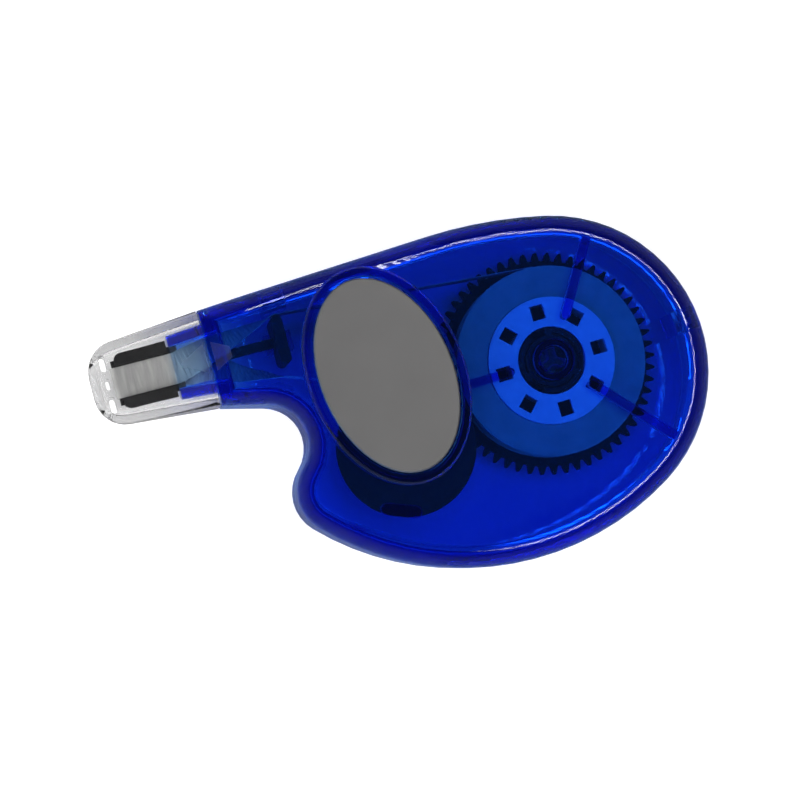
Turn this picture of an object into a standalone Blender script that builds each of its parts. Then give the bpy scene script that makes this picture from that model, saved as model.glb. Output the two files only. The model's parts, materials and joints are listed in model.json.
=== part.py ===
"""Correction tape roller, lying flat with its nose along -X.

Two see-through shells hold a geared pair of reels. The coated tape leaves the supply reel, turns a
quarter turn in the neck, passes over the head's blade and comes back bare to the take-up drum.
Lengths are in metres. The supply reel's axis is the zero of the plan, and the base empty moves the
assembly so that its box stands centred on the world's origin.
"""

import math

import bmesh
import bpy
from mathutils import Matrix, Vector

MM = 0.001
DEGREE = math.pi / 180

# Clearances
GAP = 0.3 * MM  # between pieces that seat or run on each other
BOND = 0.2 * MM  # between the layers stuck into the bezel
SPIGOT_CLEAR = 0.4 * MM  # between the spigot and the cap
FLANGE_CLEAR = 0.7 * MM  # between the take-up flange and the film discs

# Housing in plan, about the supply axis: tangent arcs, clockwise from the neck's top
END_X = -0.2 * MM
END_Y = -1.85 * MM
END_R = 25.2 * MM
TOP_R = 75.0 * MM
TOP_RISE = 1.04 * MM  # of the top arc above the end arc
BELLY_R = 45.5 * MM
BELLY_DROP = 3.03 * MM  # of the belly arc below the end arc
NOSE_DROP = 10.28 * MM  # of the nose's axis below the top of the outline
MOUTH_X = -53.15 * MM
MOUTH_HALF_WIDTH = 7.85 * MM
NOTCH_X = -47.9 * MM
NOTCH_DROP = 8.0 * MM  # of the notch's centre below the mouth's corner
NOTCH_R = 6.6 * MM
HORN_R = 7.0 * MM
MOUTH_HALF_HEIGHT = 5.75 * MM
WALL = 1.6 * MM  # of the two faces
SIDE_WALL = 2.4 * MM
EDGE_R = 3.0 * MM
INNER_EDGE_R = 1.2 * MM
BACK_EDGE_R = 0.6 * MM
BACK_INNER_EDGE_R = 0.3 * MM
LIP_HEIGHT = 1.2 * MM
LIP_INSET = 0.65 * MM

# Heights of the reel stack, from the floor up
GEAR_THICKNESS = 2.0 * MM
DISC_THICKNESS = 0.25 * MM
TAPE_WIDTH = 5.0 * MM
WEB_PROUD = 0.6 * MM
WEB_THICKNESS = 1.0 * MM
RIB_HEIGHT = 2.2 * MM

# Supply reel, from the axle post out
POST_R = 2.0 * MM
POST_FIN = 1.2 * MM
HUB_WALL = 0.9 * MM
CLUTCH_RING = 0.6 * MM
CLUTCH_SLOT = 0.4 * MM
CLUTCH_ARM = 0.7 * MM
CLUTCH_HEIGHT = 2.2 * MM
CLUTCH_DROP = 0.3 * MM  # of the clutch below the core's face
CLUTCH_ARMS = 3
ARM_SPAN = 0.62  # of the clutch's pitch, free of the ring
ARM_ROOT_SPAN = 0.12
CORE_WALL = 1.2 * MM
WINDOW_LENGTH = 2.6 * MM
WINDOW_WIDTH = 2.2 * MM
WINDOWS = 8
WINDOW_TURN = 1.5 * DEGREE
DRUM_WALL = 1.0 * MM
PACK_BUILD = 4.5 * MM
DISC_PROUD = 0.3 * MM

# Gears
MODULE = 0.63 * MM
PRESSURE_ANGLE = 20 * DEGREE
BACKLASH = 0.22 * MM
ADDENDUM = 0.9  # of the module
DEDENDUM = 1.3
SUPPLY_TEETH = 56
TAKE_UP_TEETH = 31
TRAIN_ANGLE = 195.85 * DEGREE  # from the supply axis to the take-up axis

# Take-up drum
DRUM_STEP = 0.15 * MM  # of the drum inside the gear's root
TAKE_UP_WALL = 1.2 * MM
TAKE_UP_FLANGE = 1.0 * MM
FLANGE_LIP = 1.0 * MM
USED_BUILD = 0.4 * MM
CLIP_WIDTH = 1.4 * MM
CLIP_TURN = 200 * DEGREE

# Oval plate and its bezel
PLATE_X = -26.89 * MM
PLATE_Y = 4.18 * MM
PLATE_LONG = 16.24 * MM  # half lengths
PLATE_SHORT = 10.6 * MM
PLATE_TURN = 98.9 * DEGREE
PLATE_THICKNESS = 0.8 * MM
ADHESIVE_THICKNESS = 0.25 * MM
ADHESIVE_MARGIN = 1.5 * MM
BEZEL_WIDTH = 1.6 * MM
BEZEL_RIM = 0.25 * MM  # above the plate
BEZEL_SINK = 0.6 * MM  # of the pocket below the face
SKIRT_WALL = 1.0 * MM
SKIRT_CLEAR = 0.6 * MM

# Ribs, pad and sockets in the front shell, tabs in the back shell
RIB_WIDTH = 1.4 * MM
RIB_ANGLES = (60 * DEGREE, -46.5 * DEGREE)
SHORT_RIB_ANGLE = 182 * DEGREE
PAD_LENGTH = 6.6 * MM  # of the hold-down pad over the take-up flange's edge
PAD_WIDTH = 2.0 * MM
PAD_ANGLE = -110.5 * DEGREE
SOCKET_WALL = 1.0 * MM
SOCKET_DEPTH = 1.4 * MM
POST_ENGAGE = 0.7 * MM
TAB_WIDTH = 3.6 * MM
TAB_THICKNESS = 1.2 * MM
TAB_HEIGHT = 3.5 * MM  # above the parting line
BARB = 0.7 * MM
BARB_HEIGHT = 1.6 * MM
END_TAB_ANGLE = 6.7 * DEGREE
NECK_TAB_SETBACK = 11.85 * MM  # from the mouth

# Square locating holes in the corners of the mouth
HOLE_SIZE = 0.9 * MM
HOLE_SETBACK = 1.3 * MM  # from the mouth
HOLE_INSET = 0.85 * MM  # from the side

# Head
SPIGOT_LENGTH = 5.8 * MM
SPIGOT_WALL = 1.2 * MM
SPIGOT_SIDE_WALL = 1.9 * MM
SPIGOT_EDGE_R = 1.6 * MM
WINDOW_LEDGE = 0.15 * MM  # left beside the spigot's upper window
FIN_LENGTH = 8.6 * MM
FIN_HALF_HEIGHT = 2.0 * MM
FIN_WIDTH = 1.95 * MM
FIN_CORNER_R = 1.2 * MM
BLADE_PROUD = 0.6 * MM
BLADE_HALF = 0.45 * MM
SHOULDER_LENGTH = 2.0 * MM
STEM_WIDTH = 1.6 * MM
STEM_HALF_HEIGHT = 0.4 * MM
ROOT_SETBACK = 11.65 * MM  # from the mouth
ROOT_WIDTH = 1.8 * MM
ROOT_HALF_LENGTH = 4.0 * MM
ROOT_SLOT_WALL = 1.0 * MM
ROOT_SLOT_LENGTH = 3.2 * MM

# Tape
FILM = 0.12 * MM
TWIST_END = 5.2 * MM  # in front of the mouth, where the tape lies flat
TIP_PARTING = 10 * DEGREE  # from the blade's plane to each film's end

# Cap
CAP_WALL = 1.5 * MM
CAP_TIP_ROOM = 2.0 * MM
CAP_DRAFT = 4.55 * DEGREE
CAP_SLOPE = 6.65 * DEGREE
CAP_CORNER_R = 4.5 * MM
CAP_NOSE_R = 1.5 * MM
CAP_EDGE_R = 2.0 * MM
VENT_SETBACK = 2.6 * MM
VENT_OFFSET = 3.4 * MM
VENT_LENGTH = 2.7 * MM
VENT_WIDTH = 0.95 * MM
SMALL_VENT = 0.7  # of the outer vents
SLIT_LENGTH = 1.7 * MM
SLIT_HEIGHT = 0.6 * MM
SLIT_OFFSET = 1.25 * MM
ARROW_BASE = 4.8 * MM
ARROW_LENGTH = 4.2 * MM
ARROW_RISE = 0.25 * MM
ARROW_TIP = 0.3 * MM  # width of the blunt point

# Facets
FACET_SAG = 0.04 * MM  # how far a facet of the housing's outline lies inside its arc
EDGE_STEPS = 5
INNER_EDGE_STEPS = 2
ROUND_STEPS = 48
BORE_STEPS = 24
OVAL_STEPS = 48
ARM_STEPS = 8
TWIST_STEPS = 24
TIP_STEPS = 6
ARROW_STEPS = 6
GUIDE_STEPS = 4
NECK_KNOTS = 5

# Heights that follow from the stack
GEAR_Z = WALL + GAP
LOWER_DISC_Z = GEAR_Z + GEAR_THICKNESS + GAP
TAPE_Z = LOWER_DISC_Z + DISC_THICKNESS + GAP
UPPER_DISC_Z = TAPE_Z + TAPE_WIDTH + GAP
WEB_TOP = UPPER_DISC_Z + DISC_THICKNESS + WEB_PROUD
RIB_Z = WEB_TOP + GAP
CEILING = RIB_Z + RIB_HEIGHT
TOP = CEILING + WALL
MIDDLE = TOP / 2
TAPE_MIDDLE = TAPE_Z + TAPE_WIDTH / 2
SKIRT_Z = WEB_TOP + SKIRT_CLEAR
POCKET_Z = TOP - BEZEL_SINK
ADHESIVE_Z = POCKET_Z + BOND
PLATE_Z = ADHESIVE_Z + ADHESIVE_THICKNESS + BOND
BEZEL_TOP = PLATE_Z + PLATE_THICKNESS + BEZEL_RIM
SOCKET_Z = CEILING - SOCKET_DEPTH
POST_TOP = SOCKET_Z + POST_ENGAGE

# Radii that follow from the supply reel
HUB_BORE = POST_R + GAP
HUB_R = HUB_BORE + HUB_WALL
CLUTCH_BORE = HUB_R + GAP
CLUTCH_RING_R = CLUTCH_BORE + CLUTCH_RING
CLUTCH_ARM_R = CLUTCH_RING_R + CLUTCH_SLOT
CLUTCH_R = CLUTCH_ARM_R + CLUTCH_ARM
CORE_BORE = CLUTCH_R + GAP
CORE_HUB_R = CORE_BORE + CORE_WALL
CORE_DRUM_BORE = CORE_HUB_R + WINDOW_LENGTH
CORE_R = CORE_DRUM_BORE + DRUM_WALL
PACK_BORE = CORE_R + GAP
PACK_R = PACK_BORE + PACK_BUILD
DISC_R = PACK_R + DISC_PROUD

# Gear train
SUPPLY_PITCH_R = MODULE * SUPPLY_TEETH / 2
TAKE_UP_PITCH_R = MODULE * TAKE_UP_TEETH / 2
AXIS_DISTANCE = SUPPLY_PITCH_R + TAKE_UP_PITCH_R
TAKE_UP = (AXIS_DISTANCE * math.cos(TRAIN_ANGLE), AXIS_DISTANCE * math.sin(TRAIN_ANGLE))
TAKE_UP_FLANGE_R = AXIS_DISTANCE - DISC_R - FLANGE_CLEAR
TAKE_UP_R = TAKE_UP_PITCH_R - DEDENDUM * MODULE - DRUM_STEP
USED_BORE = TAKE_UP_R + GAP
USED_R = USED_BORE + USED_BUILD

# Places along the nose
NOSE_Y = END_Y + END_R + TOP_RISE - NOSE_DROP
SPIGOT_X = MOUTH_X - SPIGOT_LENGTH
FIN_BACK_X = SPIGOT_X - GAP
FIN_FRONT_X = FIN_BACK_X - FIN_LENGTH
BLADE_X = FIN_FRONT_X - BLADE_PROUD
CAP_END_X = BLADE_X - GAP - FILM - CAP_TIP_ROOM - CAP_WALL
ROOT_X = MOUTH_X + ROOT_SETBACK
CHANNEL_HALF = TAPE_WIDTH / 2 + GAP / 2
FIN_HALF_WIDTH = CHANNEL_HALF + FIN_WIDTH
SPIGOT_HALF_WIDTH = MOUTH_HALF_WIDTH - CAP_WALL - SPIGOT_CLEAR
SPIGOT_HALF_HEIGHT = MOUTH_HALF_HEIGHT - CAP_WALL - SPIGOT_CLEAR


# Plain geometry


def polar(centre, radius, angle):
    """The point at an angle on a circle."""
    return (centre[0] + radius * math.cos(angle), centre[1] + radius * math.sin(angle))


def arc(centre, radius, start, end, steps):
    """Points on a circle from one angle to another, both included."""
    return [polar(centre, radius, start + (end - start) * i / steps) for i in range(steps + 1)]


def bearing(start, end):
    """The angle of the line between two points."""
    return math.atan2(end[1] - start[1], end[0] - start[0])


def ellipse(grow):
    """The oval plate's outline, grown by a margin."""
    long_axis = PLATE_LONG + grow
    short_axis = PLATE_SHORT + grow
    points = []
    for i in range(OVAL_STEPS):
        angle = math.tau * i / OVAL_STEPS
        along = long_axis * math.cos(angle)
        across = short_axis * math.sin(angle)
        x = PLATE_X + along * math.cos(PLATE_TURN) - across * math.sin(PLATE_TURN)
        y = PLATE_Y + along * math.sin(PLATE_TURN) + across * math.cos(PLATE_TURN)
        points.append((x, y))
    return points


def reach(points, angle):
    """How far a ray from the supply axis goes before it meets a closed outline."""
    ray = Vector((math.cos(angle), math.sin(angle)))
    found = []
    for a, b in zip(points, points[1:] + points[:1]):
        side = Vector(b) - Vector(a)
        cross = ray.cross(side)
        if abs(cross) < 1e-15:
            continue
        distance = Vector(a).cross(side) / cross
        share = Vector(a).cross(ray) / cross
        if distance > 0 and 0 <= share <= 1:
            found.append(distance)
    return min(found)


def tangent(start, end, start_offset, end_offset):
    """Where a straight run touches two circles, (centre x, centre y), at signed distances to its left."""
    length = math.hypot(end[0] - start[0], end[1] - start[1])
    heading = bearing(start, end) - math.asin((start_offset - end_offset) / length)
    left = heading + math.pi / 2
    return polar(start, start_offset, left), polar(end, end_offset, left), heading


def crossing(first, first_r, second, second_r):
    """Where two circles cross, on the right of the way from the first centre to the second."""
    distance = math.hypot(second[0] - first[0], second[1] - first[1])
    along = (distance**2 + first_r**2 - second_r**2) / (2 * distance)
    heading = bearing(first, second)
    foot = polar(first, along, heading)
    return polar(foot, math.sqrt(first_r**2 - along**2), heading - math.pi / 2)


# Housing outline


def housing_arcs():
    """Centres of the outline's five arcs: top, end, belly, horn and notch."""
    end = (END_X, END_Y)
    spare = TOP_R - END_R
    top = (END_X - math.sqrt(2 * spare * TOP_RISE - TOP_RISE**2), END_Y - spare + TOP_RISE)
    spare = BELLY_R - END_R
    belly = (END_X - math.sqrt(2 * spare * BELLY_DROP - BELLY_DROP**2), END_Y + spare - BELLY_DROP)
    notch = (NOTCH_X, NOSE_Y - MOUTH_HALF_WIDTH - NOTCH_DROP)
    horn = crossing(notch, NOTCH_R + HORN_R, belly, BELLY_R - HORN_R)
    return top, end, belly, horn, notch


def touch_angle(corner, centre, radius):
    """The angle on a circle where a line from a corner on its left side touches it."""
    distance = math.hypot(corner[0] - centre[0], corner[1] - centre[1])
    return bearing(centre, corner) - math.acos(radius / distance)


TOP_C, END_C, BELLY_C, HORN_C, NOTCH_C = housing_arcs()
HORN_X = HORN_C[0] - HORN_R
NECK_TOP_ANGLE = touch_angle((MOUTH_X, NOSE_Y + MOUTH_HALF_WIDTH), TOP_C, TOP_R)
NECK_LOW_ANGLE = touch_angle((MOUTH_X, NOSE_Y - MOUTH_HALF_WIDTH), NOTCH_C, NOTCH_R)


def line_y(centre, radius, angle, x):
    """The height, at x, of the line that touches a circle at an angle."""
    return centre[1] + (radius - (x - centre[0]) * math.cos(angle)) / math.sin(angle)


def housing_outline(inset, front_x):
    """The outline moved in by an inset and ended square at front_x, counter-clockwise."""
    horn_end = bearing(HORN_C, NOTCH_C) - math.tau
    bends = [
        (TOP_C, TOP_R, -inset, NECK_TOP_ANGLE, bearing(TOP_C, END_C)),
        (END_C, END_R, -inset, bearing(TOP_C, END_C), bearing(BELLY_C, END_C)),
        (BELLY_C, BELLY_R, -inset, bearing(BELLY_C, END_C), bearing(BELLY_C, HORN_C)),
        (HORN_C, HORN_R, -inset, bearing(BELLY_C, HORN_C), horn_end),
        (NOTCH_C, NOTCH_R, inset, bearing(NOTCH_C, HORN_C), NECK_LOW_ANGLE),
    ]
    points = [(front_x, line_y(TOP_C, TOP_R - inset, NECK_TOP_ANGLE, front_x))]
    for centre, radius, change, start, end in bends:
        facet = 2 * math.acos(1 - FACET_SAG / radius)
        steps = math.ceil(abs(end - start) / facet)
        points += arc(centre, radius + change, start, end, steps)[:-1]
    points.append(polar(NOTCH_C, NOTCH_R + inset, NECK_LOW_ANGLE))
    points.append((front_x, line_y(NOTCH_C, NOTCH_R + inset, NECK_LOW_ANGLE, front_x)))
    return points[::-1]


def neck_share(x):
    """How thick the housing is at x, as a share of its full thickness: it thins along the neck."""
    along = min(max((HORN_X - x) / (HORN_X - MOUTH_X), 0.0), 1.0)
    eased = along * along * (3 - 2 * along)
    return 1 - eased * (1 - MOUTH_HALF_HEIGHT / MIDDLE)


# Solids


def loft(loops):
    """A closed skin through loops of equal length, with both ends filled."""
    bm = bmesh.new()
    rings = [[bm.verts.new(point) for point in loop] for loop in loops]
    for near, far in zip(rings, rings[1:]):
        for i, vertex in enumerate(near):
            j = (i + 1) % len(near)
            bm.faces.new((vertex, near[j], far[j], far[i]))
    bm.faces.new(rings[0][::-1])
    bm.faces.new(rings[-1])
    bmesh.ops.recalc_face_normals(bm, faces=bm.faces)
    return bm


def as_object(bm):
    """A loose object that holds a bmesh."""
    mesh = bpy.data.meshes.new("solid")
    bm.to_mesh(mesh)
    bm.free()
    ob = bpy.data.objects.new("solid", mesh)
    bpy.context.scene.collection.objects.link(ob)
    return ob


def prism(outline, low, high):
    """A flat outline raised between two heights."""
    return as_object(loft([[(x, y, low) for x, y in outline], [(x, y, high) for x, y in outline]]))


def stack(layers):
    """A solid through flat outlines, each given with its height."""
    return as_object(loft([[(x, y, z) for x, y in outline] for outline, z in layers]))


def turned(profile, steps):
    """A ring made by turning a closed outline of radii and heights about the local Z axis."""
    bm = bmesh.new()
    rings = []
    for i in range(steps):
        angle = math.tau * i / steps
        ring = [bm.verts.new((r * math.cos(angle), r * math.sin(angle), z)) for r, z in profile]
        rings.append(ring)
    for near, far in zip(rings, rings[1:] + rings[:1]):
        for i, vertex in enumerate(near):
            j = (i + 1) % len(near)
            bm.faces.new((vertex, near[j], far[j], far[i]))
    bmesh.ops.recalc_face_normals(bm, faces=bm.faces)
    return as_object(bm)


def tube(bore, radius, low, high, steps=ROUND_STEPS):
    """A plain ring."""
    return turned([(bore, low), (radius, low), (radius, high), (bore, high)], steps)


def rod(radius, low, high, steps=BORE_STEPS):
    """A plain cylinder on the local Z axis."""
    return prism(arc((0, 0), radius, 0, math.tau * (1 - 1 / steps), steps - 1), low, high)


def block(low, high):
    """A box between two corners."""
    corners = [(low[0], low[1]), (high[0], low[1]), (high[0], high[1]), (low[0], high[1])]
    return prism(corners, low[2], high[2])


def moved(ob, place, turn=0.0):
    """The object turned about Z and moved, with its mesh changed."""
    ob.data.transform(Matrix.Translation(place) @ Matrix.Rotation(turn, 4, "Z"))
    return ob


def combine(target, tools, operation):
    """Joins tools to a target, or cuts them from it, and removes them."""
    for tool in tools:
        modifier = target.modifiers.new(operation, "BOOLEAN")
        modifier.operation = operation
        modifier.solver = "EXACT"
        modifier.object = tool
        depsgraph = bpy.context.evaluated_depsgraph_get()
        mesh = bpy.data.meshes.new_from_object(target.evaluated_get(depsgraph))
        target.modifiers.clear()
        target.data = mesh
        bpy.data.objects.remove(tool)
    return target


def rounded_section(x, half_width, half_height, radius):
    """A rounded rectangle square to X, about the nose's axis."""
    radius = min(radius, 0.8 * half_width, 0.8 * half_height)
    points = []
    for corner in range(4):
        start = corner * math.pi / 2
        side = 1 if corner in (0, 3) else -1
        level = 1 if corner in (0, 1) else -1
        centre = (side * (half_width - radius), level * (half_height - radius))
        points += arc(centre, radius, start, start + math.pi / 2, EDGE_STEPS)
    return [(x, NOSE_Y + y, MIDDLE + z) for y, z in points]


# Materials


def plastic(name, colour, roughness, alpha=1.0):
    """A plain moulded finish."""
    material = bpy.data.materials.new(name)
    material.use_nodes = True
    shader = material.node_tree.nodes["Principled BSDF"]
    shader.inputs["Base Color"].default_value = (*colour, 1.0)
    shader.inputs["Roughness"].default_value = roughness
    shader.inputs["Metallic"].default_value = 0.0
    shader.inputs["Alpha"].default_value = alpha
    return material


def finish(ob, name, material, base, place=(0.0, 0.0, 0.0)):
    """Names a solid, gives it its finish and hangs it on the base at its own origin."""
    ob.name = name
    ob.data.name = name
    ob.data.materials.clear()
    ob.data.materials.append(material)
    ob.data.transform(Matrix.Translation(-Vector(place)))
    ob.data.shade_smooth()
    ob.data.set_sharp_from_angle(angle=35 * DEGREE)
    ob.parent = base
    ob.location = place
    return ob


# Shells


def edge_profile(depth, radius, start, outward, steps):
    """Insets and heights of a quarter round that begins at a wall and ends on a flat face."""
    profile = []
    for i in range(steps + 1):
        angle = i / steps * math.pi / 2
        profile.append((depth + radius * (1 - math.cos(angle)), start + outward * radius * math.sin(angle)))
    return profile


def shell(layers):
    """A half shell from (inset, height, front) layers, thinned along the neck."""
    loops = [[(x, y, z) for x, y in housing_outline(inset, front)] for inset, z, front in layers]
    bm = loft(loops)
    for i in range(NECK_KNOTS):
        x = HORN_X + (MOUTH_X - HORN_X) * i / NECK_KNOTS
        geometry = bm.verts[:] + bm.edges[:] + bm.faces[:]
        bmesh.ops.bisect_plane(bm, geom=geometry, plane_co=(x, 0, 0), plane_no=(1, 0, 0))
    for vertex in bm.verts:
        vertex.co.z = MIDDLE + (vertex.co.z - MIDDLE) * neck_share(vertex.co.x)
    return as_object(bm)


def half_spigot(up):
    """The upper or lower half of the spigot that carries the cap, solid and rooted in the end wall."""
    loops = []
    for x in (MOUTH_X + WALL / 2, SPIGOT_X):
        wide, high = spigot_half(x)
        loops.append([(x, NOSE_Y + y, MIDDLE + z) for y, z in half_arch(wide, high, SPIGOT_EDGE_R, up)])
    return as_object(loft(loops))


def spigot_half(x):
    """Half the spigot's width and height at x: it follows the cap's draft."""
    forward = MOUTH_X - x
    wide = SPIGOT_HALF_WIDTH - forward * math.tan(CAP_DRAFT)
    return wide, SPIGOT_HALF_HEIGHT - forward * math.tan(CAP_SLOPE)


def half_arch(half_width, half_height, radius, up):
    """Half of a rounded rectangle, from one side of the parting line to the other."""
    foot = up * GAP / 2
    right = arc((half_width - radius, half_height - radius), radius, 0, math.pi / 2, EDGE_STEPS)
    left = [(-y, z) for y, z in right[::-1]]
    return [(half_width, foot)] + [(y, up * z) for y, z in right + left] + [(-half_width, foot)]


def tunnel():
    """The cutter for the way from the housing through the end wall and the spigot."""
    loops = []
    for x in (MOUTH_X + 2 * SIDE_WALL, SPIGOT_X - GAP):
        wide, high = spigot_half(x)
        loops.append(rounded_section(x, wide - SPIGOT_SIDE_WALL, high - SPIGOT_WALL, SPIGOT_EDGE_R / 2))
    return as_object(loft(loops))


def spigot_window():
    """The cutter that opens the spigot's upper half over the tape."""
    wide, high = spigot_half(SPIGOT_X)
    half = wide - SPIGOT_SIDE_WALL - WINDOW_LEDGE
    low = (SPIGOT_X - GAP, NOSE_Y - half, MIDDLE + high - 2 * SPIGOT_WALL)
    return block(low, (MOUTH_X - GAP, NOSE_Y + half, TOP))


def locating_holes():
    """The cutters for the square holes in the corners of the mouth, blind above and below."""
    x = MOUTH_X + HOLE_SETBACK
    half = HOLE_SIZE / 2
    rise = MOUTH_HALF_HEIGHT - WALL
    top = line_y(TOP_C, TOP_R - HOLE_INSET, NECK_TOP_ANGLE, x)
    low = line_y(NOTCH_C, NOTCH_R + HOLE_INSET, NECK_LOW_ANGLE, x)
    holes = []
    for y in (top, low):
        holes.append(block((x - half, y - half, MIDDLE - rise), (x + half, y + half, MIDDLE + rise)))
    return holes


def arrow(forward, surface):
    """A raised triangle that follows a face, with its base at the mouth, pointing along forward."""
    loops = []
    for i in range(ARROW_STEPS + 1):
        share = i / ARROW_STEPS
        x = MOUTH_X + forward * (2 * GAP + ARROW_LENGTH * share)
        half = (ARROW_BASE + (ARROW_TIP - ARROW_BASE) * share) / 2
        low = surface(x) - 2 * ARROW_RISE
        high = surface(x) + ARROW_RISE
        corners = [(-half, low), (half, low), (half, high), (-half, high)]
        loops.append([(x, NOSE_Y + y, z) for y, z in corners])
    return as_object(loft(loops))


def neck_top(x):
    """The height of the neck's upper face."""
    return MIDDLE + MIDDLE * neck_share(x)


def on_wall(place, normal, section, half_width):
    """A section of (depth, height) points carried along the wall, half_width to each side of a place."""
    loops = []
    for side in (-half_width, half_width):
        start = polar(place, side, normal + math.pi / 2)
        loops.append([(*polar(start, -depth, normal), z) for depth, z in section])
    return as_object(loft(loops))


def tab_places():
    """Where the snap tabs stand: the outline's point and its outward angle."""
    neck_x = MOUTH_X + NECK_TAB_SETBACK
    neck = (neck_x, line_y(TOP_C, TOP_R, NECK_TOP_ANGLE, neck_x))
    return [(neck, NECK_TOP_ANGLE), (polar(END_C, END_R, END_TAB_ANGLE), END_TAB_ANGLE)]


def front_shell():
    """The upper half, with the bezel, the ribs over the reel, the sockets and half of the spigot."""
    rim = MIDDLE + GAP / 2
    groove = rim + LIP_HEIGHT + GAP
    layers = [(inset, z, MOUTH_X) for inset, z in edge_profile(0, EDGE_R, TOP - EDGE_R, 1, EDGE_STEPS)[::-1]]
    layers += [(0, rim, MOUTH_X), (LIP_INSET, rim, MOUTH_X + LIP_INSET)]
    layers += [(LIP_INSET, groove, MOUTH_X + LIP_INSET), (SIDE_WALL, groove, MOUTH_X + SIDE_WALL)]
    inner = edge_profile(SIDE_WALL, INNER_EDGE_R, CEILING - INNER_EDGE_R, 1, INNER_EDGE_STEPS)
    layers += [(inset, z, MOUTH_X + inset) for inset, z in inner]
    body = shell(layers)
    bezel = GAP + BEZEL_WIDTH
    soft = BEZEL_WIDTH / 4
    additions = [
        half_spigot(1),
        arrow(1, neck_top),
        stack(
            [
                (ellipse(bezel), TOP - WALL / 2),
                (ellipse(bezel), BEZEL_TOP - soft),
                (ellipse(bezel - soft), BEZEL_TOP),
            ]
        ),
    ]
    cuts = [tunnel(), spigot_window(), prism(ellipse(GAP), POCKET_Z, BEZEL_TOP + MM)]
    skirt = prism(ellipse(bezel), SKIRT_Z, CEILING + WALL / 4)
    combine(skirt, [prism(ellipse(bezel - SKIRT_WALL), SKIRT_Z - MM, TOP + MM)], "DIFFERENCE")
    trims = [skirt]
    flat = housing_outline(EDGE_R, MOUTH_X + EDGE_R)
    for angle in RIB_ANGLES:
        trims.append(rib(angle, reach(flat, angle)))
    trims.append(rib(SHORT_RIB_ANGLE, reach(ellipse(bezel), SHORT_RIB_ANGLE) + SKIRT_WALL / 2))
    for place in ((0, 0), TAKE_UP):
        socket = tube(POST_R + GAP, POST_R + GAP + SOCKET_WALL, SOCKET_Z, CEILING + WALL / 4, BORE_STEPS)
        trims.append(moved(socket, (*place, 0)))
    trims.append(hold_down_pad())
    combine(body, additions, "UNION")
    combine(body, cuts, "DIFFERENCE")
    combine(body, trims, "UNION")
    pocket = [
        (SIDE_WALL - BARB - GAP, MIDDLE + TAB_HEIGHT - BARB_HEIGHT - GAP),
        (SIDE_WALL + MM, MIDDLE + TAB_HEIGHT - BARB_HEIGHT - GAP),
        (SIDE_WALL + MM, MIDDLE + TAB_HEIGHT + GAP),
        (SIDE_WALL - BARB - GAP, MIDDLE + TAB_HEIGHT + GAP),
    ]
    pockets = [on_wall(place, normal, pocket, TAB_WIDTH / 2 + GAP) for place, normal in tab_places()]
    return combine(body, pockets + locating_holes(), "DIFFERENCE")


def hold_down_pad():
    """A bar with round ends under the ceiling, along the edge of the take-up flange."""
    outline = stadium((TAKE_UP_FLANGE_R - PAD_WIDTH / 2, 0), PAD_LENGTH, PAD_WIDTH)
    low = UPPER_DISC_Z + TAKE_UP_FLANGE + GAP
    return moved(prism(outline, low, CEILING + WALL / 4), (*TAKE_UP, 0), PAD_ANGLE)


def rib(angle, end):
    """A hold-down rib under the ceiling, round where it starts over the core's face."""
    half = RIB_WIDTH / 2
    outline = arc((CORE_HUB_R + half, 0), half, math.pi / 2, 1.5 * math.pi, TIP_STEPS)
    outline += [(end, -half), (end, half)]
    return moved(prism(outline, RIB_Z, CEILING + WALL / 4), (0, 0, 0), angle)


def post_outline():
    """The three-finned section of an axle post."""
    half = POST_FIN / 2
    edge = math.asin(half / POST_R)
    points = []
    for k in range(3):
        turn = k * math.tau / 3 + math.pi / 2
        points += arc((0, 0), POST_R, turn - edge, turn + edge, 3)
        points.append(polar((0, 0), half / math.sin(math.pi / 3), turn + math.pi / 3))
    return points


def back_shell():
    """The lower half, with the lip, the axle posts, the root's slot, the tabs and half of the spigot."""
    rim = MIDDLE - GAP / 2
    lip = LIP_INSET + GAP
    outer = edge_profile(0, BACK_EDGE_R, BACK_EDGE_R, -1, INNER_EDGE_STEPS)
    layers = [(inset, z, MOUTH_X) for inset, z in outer[::-1]]
    layers += [(0, rim, MOUTH_X), (lip, rim, MOUTH_X + lip)]
    layers += [(lip, rim + LIP_HEIGHT, MOUTH_X + lip), (SIDE_WALL, rim + LIP_HEIGHT, MOUTH_X + SIDE_WALL)]
    inner = edge_profile(SIDE_WALL, BACK_INNER_EDGE_R, WALL + BACK_INNER_EDGE_R, -1, INNER_EDGE_STEPS)
    layers += [(inset, z, MOUTH_X + inset) for inset, z in inner]
    body = shell(layers)
    additions = [half_spigot(-1)]
    for place in ((0, 0), TAKE_UP):
        additions.append(moved(prism(post_outline(), WALL / 2, POST_TOP), (*place, 0)))
    for side in (-1, 1):
        near = ROOT_X + side * (ROOT_WIDTH / 2 + GAP)
        far = near + side * ROOT_SLOT_WALL
        low = (min(near, far), NOSE_Y - ROOT_SLOT_LENGTH / 2, WALL / 2)
        high = (max(near, far), NOSE_Y + ROOT_SLOT_LENGTH / 2, MIDDLE - STEM_HALF_HEIGHT - GAP)
        additions.append(block(low, high))
    top = MIDDLE + TAB_HEIGHT
    near = SIDE_WALL + GAP
    section = [
        (near + TAB_THICKNESS, WALL / 2),
        (near, WALL / 2),
        (near, top - BARB_HEIGHT),
        (near - GAP - BARB, top - BARB_HEIGHT),
        (near, top),
        (near + TAB_THICKNESS, top),
    ]
    additions += [on_wall(place, normal, section, TAB_WIDTH / 2) for place, normal in tab_places()]
    combine(body, additions, "UNION")
    return combine(body, [tunnel()] + locating_holes(), "DIFFERENCE")


# Oval plate


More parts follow.
